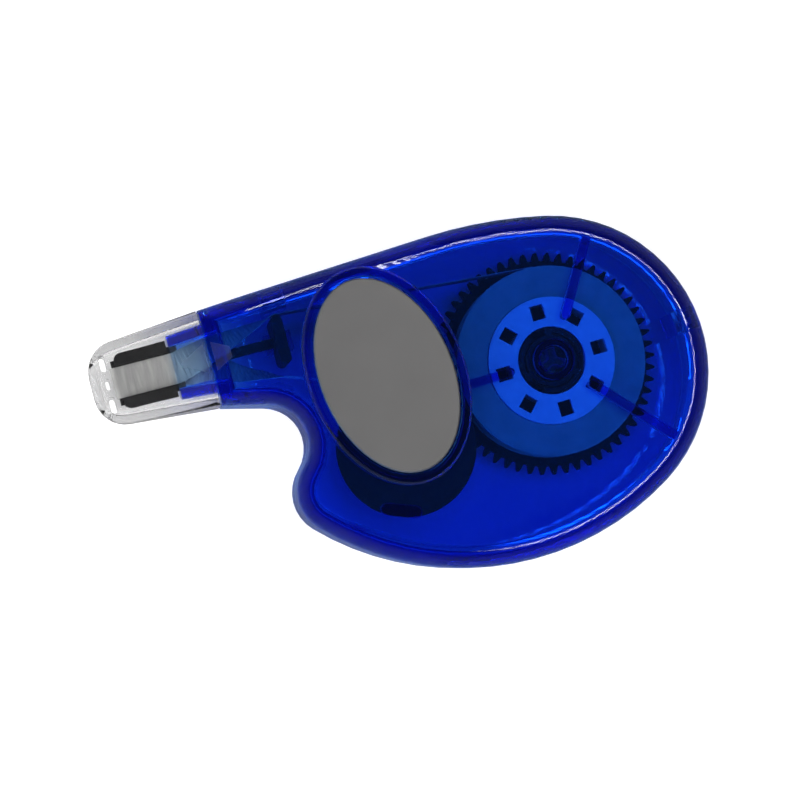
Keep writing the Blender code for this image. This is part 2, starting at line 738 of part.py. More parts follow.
def oval_layer(grow, low, thickness):
    """An oval sheet with a softened upper edge."""
    soft = thickness / 4
    layers = [(ellipse(grow), low), (ellipse(grow), low + thickness - soft)]
    layers.append((ellipse(grow - soft), low + thickness))
    return stack(layers)


# Gears and reels


def gear(teeth, thickness, low, tooth_angle):
    """A spur gear whose first tooth points along an angle."""
    pitch_r = MODULE * teeth / 2
    base_r = pitch_r * math.cos(PRESSURE_ANGLE)
    root_r = pitch_r - DEDENDUM * MODULE
    tip_r = pitch_r + ADDENDUM * MODULE
    flat = math.tan(PRESSURE_ANGLE) - PRESSURE_ANGLE
    half_pitch_angle = math.pi / (2 * teeth) - BACKLASH / 2 / pitch_r
    flank = []
    for r in (root_r, pitch_r, tip_r):
        pressure = math.acos(min(base_r / r, 1.0))
        flank.append((r, half_pitch_angle + flat - (math.tan(pressure) - pressure)))
    outline = []
    for tooth in range(teeth):
        turn = tooth_angle + math.tau * tooth / teeth
        outline += [polar((0, 0), r, turn - half) for r, half in flank]
        outline += [polar((0, 0), r, turn + half) for r, half in flank[::-1]]
    return prism(outline, low, low + thickness)


def supply_gear():
    """The large gear with the tall hub that carries the clutch and the core."""
    body = gear(SUPPLY_TEETH, GEAR_THICKNESS, GEAR_Z, TRAIN_ANGLE)
    combine(body, [rod(HUB_R, GEAR_Z + GEAR_THICKNESS / 2, WEB_TOP - CLUTCH_DROP)], "UNION")
    return combine(body, [rod(HUB_BORE, GEAR_Z - MM, WEB_TOP + MM)], "DIFFERENCE")


def clutch_spring():
    """A ring with curved arms that press on the core's bore."""
    pitch = math.tau / CLUTCH_ARMS
    root = ARM_ROOT_SPAN * pitch
    free = ARM_SPAN * pitch
    outline = []
    for k in range(CLUTCH_ARMS):
        start = k * pitch
        outline += arc((0, 0), CLUTCH_RING_R, start, start + free, ARM_STEPS)
        outline += arc((0, 0), CLUTCH_ARM_R, start + free, start, ARM_STEPS)
        outline += arc((0, 0), CLUTCH_R, start, start + free + root, ARM_STEPS)
        outline += arc((0, 0), CLUTCH_RING_R, start + free + root, start + pitch, ARM_STEPS // 2)[:-1]
    top = WEB_TOP - CLUTCH_DROP
    body = prism(outline, top - CLUTCH_HEIGHT, top)
    return combine(body, [rod(CLUTCH_BORE, top - CLUTCH_HEIGHT - MM, top + MM)], "DIFFERENCE")


def supply_core():
    """The reel core: hub and drum joined by a face with square windows."""
    web = WEB_TOP - WEB_THICKNESS
    profile = [
        (CORE_BORE, LOWER_DISC_Z),
        (CORE_HUB_R, LOWER_DISC_Z),
        (CORE_HUB_R, web),
        (CORE_DRUM_BORE, web),
        (CORE_DRUM_BORE, LOWER_DISC_Z),
        (CORE_R, LOWER_DISC_Z),
        (CORE_R, WEB_TOP),
        (CORE_BORE, WEB_TOP),
    ]
    body = turned(profile, ROUND_STEPS)
    inner = CORE_HUB_R + GAP / 3
    outer = CORE_DRUM_BORE - GAP / 3
    windows = []
    for k in range(WINDOWS):
        low = (inner, -WINDOW_WIDTH / 2, web - MM)
        window = block(low, (outer, WINDOW_WIDTH / 2, WEB_TOP + MM))
        windows.append(moved(window, (0, 0, 0), WINDOW_TURN + math.tau * k / WINDOWS))
    return combine(body, windows, "DIFFERENCE")


def take_up_gear():
    """The small gear with its drum, its hub and the slot for the film's end."""
    body = gear(TAKE_UP_TEETH, GEAR_THICKNESS, GEAR_Z, TRAIN_ANGLE + math.pi * (1 + 1 / TAKE_UP_TEETH))
    inside = GEAR_Z + GEAR_THICKNESS / 2
    drum = tube(TAKE_UP_R - TAKE_UP_WALL, TAKE_UP_R, inside, TAPE_Z + TAPE_WIDTH)
    hub = rod(HUB_R, inside, UPPER_DISC_Z + TAKE_UP_FLANGE)
    combine(body, [drum, hub], "UNION")
    half = CLIP_WIDTH / 2 + GAP
    low = (TAKE_UP_R - TAKE_UP_WALL - MM, -half, TAPE_Z)
    slot = block(low, (TAKE_UP_R + MM, half, UPPER_DISC_Z))
    cuts = [rod(HUB_BORE, GEAR_Z - MM, TOP), moved(slot, (0, 0, 0), CLIP_TURN)]
    return combine(body, cuts, "DIFFERENCE")


def take_up_flange():
    """The disc that closes the drum, with a lip that centres it there."""
    top = UPPER_DISC_Z + TAKE_UP_FLANGE
    lip_r = TAKE_UP_R - TAKE_UP_WALL - GAP
    profile = [
        (HUB_R + GAP, UPPER_DISC_Z),
        (lip_r - FLANGE_LIP, UPPER_DISC_Z),
        (lip_r - FLANGE_LIP, UPPER_DISC_Z - FLANGE_LIP),
        (lip_r, UPPER_DISC_Z - FLANGE_LIP),
        (lip_r, UPPER_DISC_Z),
        (TAKE_UP_FLANGE_R, UPPER_DISC_Z),
        (TAKE_UP_FLANGE_R, top),
        (HUB_R + GAP, top),
    ]
    return turned(profile, ROUND_STEPS)


def film_clip():
    """The wedge that pins the film's end in the drum's slot."""
    low = (TAKE_UP_R - TAKE_UP_WALL, -CLIP_WIDTH / 2, TAPE_Z + GAP)
    high = (TAKE_UP_R - GAP / 2, CLIP_WIDTH / 2, TAPE_Z + TAPE_WIDTH - GAP)
    return moved(block(low, high), (0, 0, 0), CLIP_TURN)


# Head and tape


def applicator_head():
    """Fins and blade in front, a thin stem through the neck and a cross-bar root between the shells."""
    blade = [(FIN_BACK_X + STEM_WIDTH, MIDDLE - BLADE_HALF)]
    blade += arc((BLADE_X + BLADE_HALF, MIDDLE), BLADE_HALF, -math.pi / 2, -1.5 * math.pi, TIP_STEPS)
    blade.append((FIN_BACK_X + STEM_WIDTH, MIDDLE + BLADE_HALF))
    half = CHANNEL_HALF + FIN_WIDTH / 2
    loops = [[(x, NOSE_Y + y, z) for x, z in blade] for y in (-half, half)]
    body = as_object(loft(loops))
    shoulder_x = FIN_BACK_X + SHOULDER_LENGTH
    shoulder = [
        (FIN_BACK_X - STEM_WIDTH, NOSE_Y - CHANNEL_HALF),
        (FIN_BACK_X, NOSE_Y - CHANNEL_HALF),
        (shoulder_x, NOSE_Y - STEM_WIDTH / 2),
        (shoulder_x, NOSE_Y + STEM_WIDTH / 2),
        (FIN_BACK_X, NOSE_Y + CHANNEL_HALF),
        (FIN_BACK_X - STEM_WIDTH, NOSE_Y + CHANNEL_HALF),
    ]
    thin = BLADE_HALF - GAP / 4
    stem_low = (FIN_BACK_X + STEM_WIDTH / 2, NOSE_Y - STEM_WIDTH / 2, MIDDLE - STEM_HALF_HEIGHT)
    stem_high = (ROOT_X, NOSE_Y + STEM_WIDTH / 2, MIDDLE + STEM_HALF_HEIGHT)
    additions = [prism(shoulder, MIDDLE - thin, MIDDLE + thin), block(stem_low, stem_high), head_root()]
    additions += [fin(side) for side in (-1, 1)]
    return combine(body, additions, "UNION")


def fin(side):
    """One of the blocks beside the tape, with its front corner rounded off."""
    outer = side * FIN_HALF_WIDTH
    inner = side * CHANNEL_HALF
    centre = (FIN_FRONT_X + FIN_CORNER_R, outer - side * FIN_CORNER_R)
    corner = arc(centre, FIN_CORNER_R, math.pi, math.pi / 2, EDGE_STEPS)
    corner = [(x, centre[1] + side * (y - centre[1])) for x, y in corner]
    outline = [(FIN_FRONT_X, inner)] + corner + [(FIN_BACK_X, outer), (FIN_BACK_X, inner)]
    outline = [(x, NOSE_Y + y) for x, y in outline]
    return prism(outline, MIDDLE - FIN_HALF_HEIGHT, MIDDLE + FIN_HALF_HEIGHT)


def head_root():
    """The cross-bar, as tall as the room between the shells, whose upper round end guides the tape."""
    radius = ROOT_WIDTH / 2
    reach_y = ROOT_HALF_LENGTH - radius
    outline = arc((ROOT_X, NOSE_Y + reach_y), radius, 0, math.pi, ARM_STEPS)
    outline += arc((ROOT_X, NOSE_Y - reach_y), radius, math.pi, math.tau, ARM_STEPS)
    return prism(outline, WALL + GAP, CEILING - GAP)


def ribbon(stations):
    """A film through (centre, width direction) stations, both faces split along the same diagonals."""
    bm = bmesh.new()
    rings = []
    for i, (centre, across) in enumerate(stations):
        before = stations[max(i - 1, 0)][0]
        after = stations[min(i + 1, len(stations) - 1)][0]
        along = (after - before).normalized()
        across = (across - along * across.dot(along)).normalized()
        through = along.cross(across) * (FILM / 2)
        across = across * (TAPE_WIDTH / 2)
        loop = [across + through, across - through, -across - through, -across + through]
        rings.append([bm.verts.new(centre + corner) for corner in loop])
    for near, far in zip(rings, rings[1:]):
        for i, vertex in enumerate(near):
            j = (i + 1) % len(near)
            if i < 2:
                halves = (vertex, near[j], far[j]), (vertex, far[j], far[i])
            else:
                halves = (vertex, near[j], far[i]), (near[j], far[j], far[i])
            for half in halves:
                bm.faces.new(half)
    bm.faces.new(rings[0][::-1])
    bm.faces.new(rings[-1])
    bmesh.ops.recalc_face_normals(bm, faces=bm.faces)
    return as_object(bm)


GUIDE_C = (ROOT_X, NOSE_Y + ROOT_HALF_LENGTH - ROOT_WIDTH / 2)
GUIDE_R = ROOT_WIDTH / 2 + GAP + FILM / 2
FLAT_RISE = BLADE_HALF + GAP + FILM / 2
FLAT_END = (MOUTH_X - TWIST_END, NOSE_Y)
TIP_X = BLADE_X + BLADE_HALF
UPRIGHT = Vector((0, 0, 1))


def head_stations(level, end):
    """The tape's way from the blade's tip, over or under the head, through its quarter turn to a point."""
    stations = []
    cross = Vector((0, -level, 0))
    for i in range(TIP_STEPS + 1):
        angle = math.pi - level * (TIP_PARTING + (math.pi / 2 - TIP_PARTING) * i / TIP_STEPS)
        x, z = polar((TIP_X, MIDDLE), FLAT_RISE, angle)
        stations.append((Vector((x, NOSE_Y, z)), cross))
    heading = bearing(FLAT_END, end)
    right = Vector((math.sin(heading), -math.cos(heading), 0))
    lift = MIDDLE + level * FLAT_RISE
    for i in range(TWIST_STEPS + 1):
        share = i / TWIST_STEPS
        turn = share * math.pi / 2
        x = FLAT_END[0] + (end[0] - FLAT_END[0]) * share
        y = FLAT_END[1] + (end[1] - FLAT_END[1]) * share
        z = lift + (TAPE_MIDDLE - lift) * share * share * (3 - 2 * share)
        across = (right * math.cos(turn) + UPRIGHT * math.sin(turn)) * level
        stations.append((Vector((x, y, z)), across))
    return stations


def coated_tape_run():
    """The fresh tape: from the blade's tip over the head, round the root's end and back to the wound pack."""
    _, touch, arrive = tangent(FLAT_END, GUIDE_C, 0, GUIDE_R)
    _, end, leave = tangent(GUIDE_C, (0, 0), GUIDE_R, PACK_R + GAP + FILM / 2)
    bend = arc(GUIDE_C, GUIDE_R, arrive + math.pi / 2, leave + math.pi / 2, GUIDE_STEPS)[1:]
    stations = head_stations(1, touch)
    stations += [(Vector((*point, TAPE_MIDDLE)), UPRIGHT) for point in bend + [end]]
    return ribbon(stations)


def spent_film_run():
    """The bare film: from the blade's tip under the head and straight on to the take-up drum."""
    _, end, _ = tangent(FLAT_END, TAKE_UP, 0, USED_R + GAP + FILM / 2)
    share = (ROOT_X - FLAT_END[0]) / (end[0] - FLAT_END[0])
    stations = head_stations(-1, (ROOT_X, FLAT_END[1] + (end[1] - FLAT_END[1]) * share))
    stations.append((Vector((*end, TAPE_MIDDLE)), -UPRIGHT))
    return ribbon(stations)


# Cap


def cap_half(x):
    """Half the cap's width and height at x, with the end's corners rounded."""
    forward = MOUTH_X - x
    from_end = x - CAP_END_X
    wide = MOUTH_HALF_WIDTH - forward * math.tan(CAP_DRAFT)
    high = MOUTH_HALF_HEIGHT - forward * math.tan(CAP_SLOPE)
    if from_end < CAP_CORNER_R:
        wide -= CAP_CORNER_R - math.sqrt(CAP_CORNER_R**2 - (CAP_CORNER_R - from_end) ** 2)
    if from_end < CAP_NOSE_R:
        high -= CAP_NOSE_R - math.sqrt(CAP_NOSE_R**2 - (CAP_NOSE_R - from_end) ** 2)
    return wide, high


def cap_top(x):
    """The height of the cap's upper face."""
    return MIDDLE + cap_half(x)[1]


def stadium(centre, length, width):
    """A slot's outline, long across the nose."""
    radius = width / 2
    offset = length / 2 - radius
    outline = arc((centre[0], centre[1] + offset), radius, 0, math.pi, TIP_STEPS)
    return outline + arc((centre[0], centre[1] - offset), radius, math.pi, math.tau, TIP_STEPS)


def nose_cap():
    """A drafted clear cup with vents near its end and an arrow at its mouth."""
    rim_x = MOUTH_X - GAP
    inner_end = CAP_END_X + CAP_WALL
    straight = CAP_END_X + CAP_CORNER_R
    turns = [i / ARM_STEPS * math.pi / 2 for i in range(ARM_STEPS + 1)]
    bend = [CAP_END_X + CAP_CORNER_R * (1 - math.sin(turn)) for turn in turns]
    inner_bend = [x for x in bend if x > inner_end + GAP]
    inside = [inner_end] + sorted(inner_bend) + [rim_x]
    loops = []
    for x in inside:
        wide, high = cap_half(x)
        loops.append(rounded_section(x, wide - CAP_WALL, high - CAP_WALL, CAP_EDGE_R - CAP_WALL / 2))
    for x in [rim_x, (rim_x + straight) / 2] + bend:
        loops.append(rounded_section(x, *cap_half(x), CAP_EDGE_R))
    body = as_object(loft(loops))
    combine(body, [arrow(-1, cap_top)], "UNION")
    vent_x = CAP_END_X + VENT_SETBACK
    cuts = []
    for offset, size in ((-VENT_OFFSET, 1), (0, SMALL_VENT), (VENT_OFFSET, 1)):
        vent = stadium((vent_x, NOSE_Y + offset), VENT_LENGTH * size, VENT_WIDTH * size)
        cuts.append(prism(vent, 0, TOP))
    for side in (-1, 1):
        centre_y = NOSE_Y + side * SLIT_OFFSET
        low = (CAP_END_X - MM, centre_y - SLIT_LENGTH / 2, MIDDLE - SLIT_HEIGHT / 2)
        high = (inner_end + MM, centre_y + SLIT_LENGTH / 2, MIDDLE + SLIT_HEIGHT / 2)
        cuts.append(block(low, high))
    return combine(body, cuts, "DIFFERENCE")


# Assembly


def clear_scene():
    """Starts from an empty scene."""
    for ob in list(bpy.data.objects):
        bpy.data.objects.remove(ob)


def base_empty():
    """The empty that centres the assembly's box on the origin."""
    low_x = CAP_END_X
    high_x = END_X + END_R
    low_y = END_Y - END_R - BELLY_DROP
    high_y = END_Y + END_R + TOP_RISE
    base = bpy.data.objects.new("roller", None)
    bpy.context.scene.collection.objects.link(base)
    base.location = (-(low_x + high_x) / 2, -(low_y + high_y) / 2, 0)
    return base


def main():
    """Builds every piece of the roller."""
    clear_scene()
    base = base_empty()
    blue = plastic("clear_blue_plastic", (0.01, 0.06, 0.62), 0.08, 0.45)
    clear = plastic("clear_plastic", (0.93, 0.93, 0.93), 0.06, 0.3)
    black = plastic("black_plastic", (0.02, 0.02, 0.022), 0.4)
    dark = plastic("dark_gear_plastic", (0.03, 0.035, 0.04), 0.45)
    white = plastic("white_plastic", (0.85, 0.86, 0.86), 0.4)
    grey = plastic("grey_mirror", (0.42, 0.42, 0.41), 0.2)
    pad = plastic("adhesive_pad", (0.75, 0.75, 0.72), 0.8)
    coat = plastic("coated_tape", (0.82, 0.82, 0.79), 0.5)
    film = plastic("bare_film", (0.6, 0.6, 0.58), 0.3)
    disc = plastic("film_disc", (0.7, 0.72, 0.72), 0.25, 0.6)

    finish(front_shell(), "front_shell", blue, base)
    finish(back_shell(), "back_shell", blue, base)
    finish(oval_layer(0, PLATE_Z, PLATE_THICKNESS), "mirror_plate", grey, base)
    finish(oval_layer(-ADHESIVE_MARGIN, ADHESIVE_Z, ADHESIVE_THICKNESS), "plate_adhesive", pad, base)
    finish(applicator_head(), "applicator_head", black, base)
    finish(coated_tape_run(), "coated_tape_run", coat, base)
    finish(spent_film_run(), "spent_film_run", film, base)
    finish(nose_cap(), "nose_cap", clear, base, (MOUTH_X, NOSE_Y, MIDDLE))

    finish(supply_gear(), "supply_gear", dark, base)
    finish(clutch_spring(), "clutch_spring", black, base)
    finish(supply_core(), "supply_core", white, base)
    finish(tube(PACK_BORE, PACK_R, TAPE_Z, TAPE_Z + TAPE_WIDTH), "tape_pack", coat, base)
    lower = tube(PACK_BORE, DISC_R, LOWER_DISC_Z, LOWER_DISC_Z + DISC_THICKNESS)
    finish(lower, "lower_film_disc", disc, base)
    upper = tube(PACK_BORE, DISC_R, UPPER_DISC_Z, UPPER_DISC_Z + DISC_THICKNESS)
    finish(upper, "upper_film_disc", disc, base)

    used = tube(USED_BORE, USED_R, TAPE_Z, TAPE_Z + TAPE_WIDTH)
    take_up_pieces = [
        (take_up_gear(), "take_up_gear", dark),
        (take_up_flange(), "take_up_flange", dark),
        (used, "used_film", film),
        (film_clip(), "film_clip", black),
    ]
    for ob, name, material in take_up_pieces:
        moved(ob, (*TAKE_UP, 0))
        finish(ob, name, material, base, (*TAKE_UP, 0.0))


main()
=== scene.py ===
import json
import math

import bmesh
import bpy
from mathutils import Matrix, Vector


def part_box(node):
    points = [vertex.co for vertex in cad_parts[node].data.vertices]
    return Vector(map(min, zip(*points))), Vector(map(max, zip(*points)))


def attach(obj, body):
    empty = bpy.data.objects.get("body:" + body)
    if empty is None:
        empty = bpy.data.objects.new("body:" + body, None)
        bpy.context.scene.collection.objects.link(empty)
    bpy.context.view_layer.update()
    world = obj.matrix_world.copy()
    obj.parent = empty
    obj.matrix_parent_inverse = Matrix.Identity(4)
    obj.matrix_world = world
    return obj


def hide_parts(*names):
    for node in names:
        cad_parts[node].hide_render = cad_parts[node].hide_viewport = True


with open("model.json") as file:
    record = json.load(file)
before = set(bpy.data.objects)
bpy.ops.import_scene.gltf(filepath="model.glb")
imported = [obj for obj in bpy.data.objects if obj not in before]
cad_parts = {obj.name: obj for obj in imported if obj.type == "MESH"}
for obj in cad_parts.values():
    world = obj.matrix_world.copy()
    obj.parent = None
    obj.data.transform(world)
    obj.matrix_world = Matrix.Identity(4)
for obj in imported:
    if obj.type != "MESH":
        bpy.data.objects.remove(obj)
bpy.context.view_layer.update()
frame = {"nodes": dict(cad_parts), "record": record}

MM = 0.001
DEGREE = math.pi / 180
WHITE = (1.0, 1.0, 1.0, 1.0)
BODIES = frame["record"]["behaviour"]["bodies"]
SLOTS = {row["node"]: row["material_slot"] for row in frame["record"]["subparts"]}

# Camera: the photograph looks down on the roller, turned by 15 degrees, a little from the nose's side
FRAME_TURN = 15 * DEGREE
FRAME_WIDTH = 129.0 * MM  # of the picture, at the camera's target
TARGET = Vector((-1.29, 2.98, 7.5)) * MM
DISTANCE = 450 * MM
LEAN_RIGHT = 0.106  # slope of the view's axis, towards the picture's right and top
LEAN_UP = 0.062
SENSOR = 36.0
CLIP_START = 10 * MM

# See-through plastic: absorption per metre, and what part of each colour it spares
BLUE_DENSITY = 1500.0
BLUE_TINT = (0.0, 0.54, 0.944, 1.0)
CLEAR_DENSITY = 70.0
CLEAR_TINT = (0.55, 0.55, 0.56, 1.0)
BLUE_IOR = 1.49
CLEAR_IOR = 1.25
FROST_ROUGHNESS = 0.3
BLUE_HAZE = 0.35  # light scattered at the surface, mostly where it is seen at a slant
CLEAR_HAZE = 0.0
HAZE_TINT = (0.05, 0.30, 1.0, 1.0)
HAZE_ROUGHNESS = 0.46

# Grain of the finishes
NOISE_LOW = 0.3  # most of a noise's values lie between these two
NOISE_HIGH = 0.7
GLOSS_GRAIN = 2.3  # how much finer than a finish's mottling its uneven gloss is
RELIEF_GRAIN = 6.0  # and its relief
WAVE_GRAIN = 0.4  # see-through plastic has waves coarser than its uneven gloss
EVEN = (1.0, 1.0, 1.0)
DRAWN = (3.0, 0.4, 0.4)  # stretch of the noise on tape and film

# Softened edges
BEVELS = {
    "front_shell": 0.10 * MM,
    "back_shell": 0.10 * MM,
    "mirror_plate": 0.08 * MM,
    "applicator_head": 0.12 * MM,
    "supply_gear": 0.08 * MM,
    "take_up_gear": 0.08 * MM,
    "take_up_flange": 0.12 * MM,
    "supply_core": 0.12 * MM,
    "clutch_spring": 0.08 * MM,
    "nose_cap": 0.10 * MM,
    "film_clip": 0.10 * MM,
}
BEVEL_SEGMENTS = 2
SHARP_ANGLE = 32 * DEGREE
FLAT_ANGLE = 0.5 * DEGREE  # facets at less than this are merged
MERGE_DISTANCE = 0.001 * MM

# Film discs
DISC_GAP = 0.5 * MM  # more than the CAD leaves between a film disc and the core
DISC_HAIR = 0.05 * MM

# Raised arrows at the mouth of the nose
ARROW_BASE = 4.8 * MM
ARROW_LENGTH = 4.2 * MM
ARROW_START = 0.6 * MM  # from the mouth
ARROW_SLACK = 0.3 * MM
ARROW_REACH = 0.6  # of its length, to either side of its middle
UPPER_FACE = 0.9  # the least that an upper face's normal rises

# Thin roof in the window of the nose's spigot, over the tape
ROOF_ENDS = ((-5.48 * MM, 10.62 * MM), (-0.03 * MM, 11.27 * MM))  # x from the mouth, height of the top
ROOF_HALF_WIDTH = 3.41 * MM
ROOF_THICKNESS = 0.4 * MM

# Winding
TURNS = {"tape_pack": 14, "used_film": 3}
TURN_STEPS = 72
TURN_SPACE = 0.25  # of a turn, left between two turns

# Light: a dim dome, half a ring of small lamps round the zenith, and a broad soft light low on one side
ZENITH = 0.02
HORIZON = 0.25
DARK_ANGLE = 35 * DEGREE  # from the zenith
FILL_ANGLE = 70 * DEGREE
SIDE_STRENGTH = 4.4
SIDE_HEADING = 205 * DEGREE
SIDE_EDGE = (0.55, 0.75)  # cosines from its heading, where it fades in
RING_INNER = 15 * DEGREE
RING_OUTER = 26 * DEGREE
RING_STRENGTH = 17.0
RING_LAMPS = 90  # in a full turn
RING_DUTY = 0.45  # share of the ring that is lit
RING_HEADING = 15 * DEGREE  # the middle of the half ring
RING_FADE = (80 * DEGREE, 92 * DEGREE)  # from its middle
CLOSE_LAMPS = 78 * DEGREE  # heading past which they stand at half the spacing
THROUGH = 0.4  # of white, the sky as seen through plastic

# Floor
FLOOR_REACH = 3.0  # metres, from its middle to its edges
FLOOR_DROP = 0.02 * MM  # below the part
FLOOR_ROUGHNESS = 0.9
FLOOR_SHADE = 0.80
FLOOR_SHINE = 0.35  # of its shade, in reflections
FLOOR_WHITE = 0.6  # the floor's own light, to the camera
FLOOR_GLOW = 0.04  # and to what lets light through


# Nodes


def new_material(name):
    """A node material with its tree and its principled shader."""
    material = bpy.data.materials.new(name)
    material.use_nodes = True
    tree = material.node_tree
    return material, tree, tree.nodes["Principled BSDF"]


def maths(tree, operation, *values):
    """The result of a sum on numbers or sockets."""
    node = tree.nodes.new("ShaderNodeMath")
    node.operation = operation
    for socket, value in zip(node.inputs, values):
        if isinstance(value, (int, float)):
            socket.default_value = value
        else:
            tree.links.new(value, socket)
    return node.outputs["Value"]


def noise(tree, scale, detail=3.0, stretch=EVEN):
    """A noise value over the piece's own coordinates, with features about 1 / scale metres wide."""
    coordinates = tree.nodes.new("ShaderNodeTexCoord")
    mapping = tree.nodes.new("ShaderNodeMapping")
    mapping.inputs["Scale"].default_value = stretch
    texture = tree.nodes.new("ShaderNodeTexNoise")
    texture.inputs["Scale"].default_value = scale
    texture.inputs["Detail"].default_value = detail
    tree.links.new(coordinates.outputs["Object"], mapping.inputs["Vector"])
    tree.links.new(mapping.outputs["Vector"], texture.inputs["Vector"])
    return texture.outputs["Fac"]


def between(tree, value, low, high, value_low=NOISE_LOW, value_high=NOISE_HIGH):
    """A value mapped to a range of numbers."""
    node = tree.nodes.new("ShaderNodeMapRange")
    node.inputs["From Min"].default_value = value_low
    node.inputs["From Max"].default_value = value_high
    node.inputs["To Min"].default_value = low
    node.inputs["To Max"].default_value = high
    tree.links.new(value, node.inputs["Value"])
    return node.outputs["Result"]


def shades(tree, value, low, high):
    """A noise value mapped to a range of colours."""
    node = tree.nodes.new("ShaderNodeValToRGB")
    first, last = node.color_ramp.elements
    first.position = NOISE_LOW
    first.color = (*low, 1.0)
    last.position = NOISE_HIGH
    last.color = (*high, 1.0)
    tree.links.new(value, node.inputs["Fac"])
    return node.outputs["Color"]


def relief(tree, value, height):
    """A normal bumped by a value, height in metres."""
    node = tree.nodes.new("ShaderNodeBump")
    node.inputs["Distance"].default_value = height
    tree.links.new(value, node.inputs["Height"])
    return node.outputs["Normal"]


def moulded(name, low, high, roughness, grain, height, specular=0.5, stretch=EVEN):
    """An opaque finish: mottled colour, uneven gloss and a fine grain."""
    material, tree, shader = new_material(name)
    mottled = noise(tree, grain, detail=4.0, stretch=stretch)
    tree.links.new(shades(tree, mottled, low, high), shader.inputs["Base Color"])
    uneven = noise(tree, grain * GLOSS_GRAIN, detail=3.0, stretch=stretch)
    tree.links.new(between(tree, uneven, *roughness), shader.inputs["Roughness"])
    fine = noise(tree, grain * RELIEF_GRAIN, detail=2.0, stretch=stretch)
    tree.links.new(relief(tree, fine, height), shader.inputs["Normal"])
    shader.inputs["Specular IOR Level"].default_value = specular
    return material


def see_through(name, density, tint, ior, haze, roughness, grain, height):
    """A plastic that absorbs along the light's way, with haze at its rims and frost on its arrows."""
    material, tree, shader = new_material(name)
    shader.inputs["Base Color"].default_value = WHITE
    shader.inputs["Transmission Weight"].default_value = 1.0
    shader.inputs["IOR"].default_value = ior
    shader.inputs["Sheen Weight"].default_value = haze
    shader.inputs["Sheen Roughness"].default_value = HAZE_ROUGHNESS
    shader.inputs["Sheen Tint"].default_value = HAZE_TINT
    frost = tree.nodes.new("ShaderNodeAttribute")
    frost.attribute_name = "frost"
    gloss = between(tree, noise(tree, grain), *roughness)
    matt = maths(tree, "MULTIPLY_ADD", frost.outputs["Fac"], FROST_ROUGHNESS, gloss)
    tree.links.new(matt, shader.inputs["Roughness"])
    waves = noise(tree, grain * WAVE_GRAIN, detail=2.0)
    tree.links.new(relief(tree, waves, height), shader.inputs["Normal"])
    path = tree.nodes.new("ShaderNodeLightPath")
    passing = maths(tree, "MAXIMUM", path.outputs["Is Shadow Ray"], path.outputs["Is Diffuse Ray"])
    through = tree.nodes.new("ShaderNodeBsdfTransparent")
    mix = tree.nodes.new("ShaderNodeMixShader")
    tree.links.new(passing, mix.inputs["Fac"])
    tree.links.new(shader.outputs["BSDF"], mix.inputs[1])
    tree.links.new(through.outputs["BSDF"], mix.inputs[2])
    absorption = tree.nodes.new("ShaderNodeVolumeAbsorption")
    absorption.inputs["Color"].default_value = tint
    absorption.inputs["Density"].default_value = density
    output = tree.nodes["Material Output"]
    tree.links.new(mix.outputs["Shader"], output.inputs["Surface"])
    tree.links.new(absorption.outputs["Volume"], output.inputs["Volume"])
    return material


def finishes():
    """One material for each of the record's slots."""
    return {
        "blue_shell": see_through(
            "dyed_blue_plastic",
            density=BLUE_DENSITY,
            tint=BLUE_TINT,
            ior=BLUE_IOR,
            haze=BLUE_HAZE,
            roughness=(0.02, 0.05),
            grain=300,
            height=3e-6,
        ),
        "clear_cap": see_through(
            "clear_plastic",
            density=CLEAR_DENSITY,
            tint=CLEAR_TINT,
            ior=CLEAR_IOR,
            haze=CLEAR_HAZE,
            roughness=(0.03, 0.08),
            grain=400,
            height=4e-6,
        ),
        "black_plastic": moulded(
            "black_moulded_plastic",
            low=(0.006, 0.006, 0.007),
            high=(0.012, 0.012, 0.013),
            roughness=(0.4, 0.5),
            grain=700,
            height=6e-6,
            specular=0.09,
        ),
        "gear_plastic": moulded(
            "dark_gear_plastic",
            low=(0.006, 0.007, 0.006),
            high=(0.011, 0.012, 0.011),
            roughness=(0.5, 0.65),
            grain=600,
            height=6e-6,
            specular=0.08,
        ),
        "core_plastic": moulded(
            "white_reel_plastic",
            low=(0.80, 0.81, 0.81),
            high=(0.88, 0.89, 0.89),
            roughness=(0.35, 0.5),
            grain=500,
            height=4e-6,
        ),
        "plate": moulded(
            "grey_plate",
            low=(0.101, 0.099, 0.099),
            high=(0.109, 0.107, 0.107),
            roughness=(0.42, 0.46),
            grain=120,
            height=4e-7,
            specular=0.4,
        ),
        "adhesive": moulded(
            "foam_pad",
            low=(0.66, 0.66, 0.62),
            high=(0.78, 0.78, 0.74),
            roughness=(0.8, 0.95),
            grain=2500,
            height=4e-5,
        ),
        "coated_tape": moulded(
            "coated_tape",
            low=(0.24, 0.24, 0.24),
            high=(0.35, 0.35, 0.34),
            roughness=(0.45, 0.6),
            grain=500,
            height=3e-6,
            specular=0.4,
            stretch=DRAWN,
        ),
        "bare_film": moulded(
            "bare_film",
            low=(0.38, 0.37, 0.42),
            high=(0.50, 0.49, 0.54),
            roughness=(0.2, 0.35),
            grain=500,
            height=2e-6,
            stretch=DRAWN,
        ),
        "film_disc": moulded(
            "film_disc",
            low=(0.24, 0.29, 0.23),
            high=(0.28, 0.33, 0.27),
            roughness=(0.35, 0.5),
            grain=300,
            height=2e-6,
        ),
    }


# Pieces


def mouth():
    """The place of the cap's mouth: its x, and the y of the nose's middle."""
    low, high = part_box("nose_cap")
    return high[0], (low[1] + high[1]) / 2


def smooth_mesh(bm, name):
    """The mesh of a piece, smooth but for its sharp edges."""
    mesh = bpy.data.meshes.new(name)
    bm.to_mesh(mesh)
    bm.free()
    mesh.shade_smooth()
    mesh.set_sharp_from_angle(angle=SHARP_ANGLE)
    return mesh


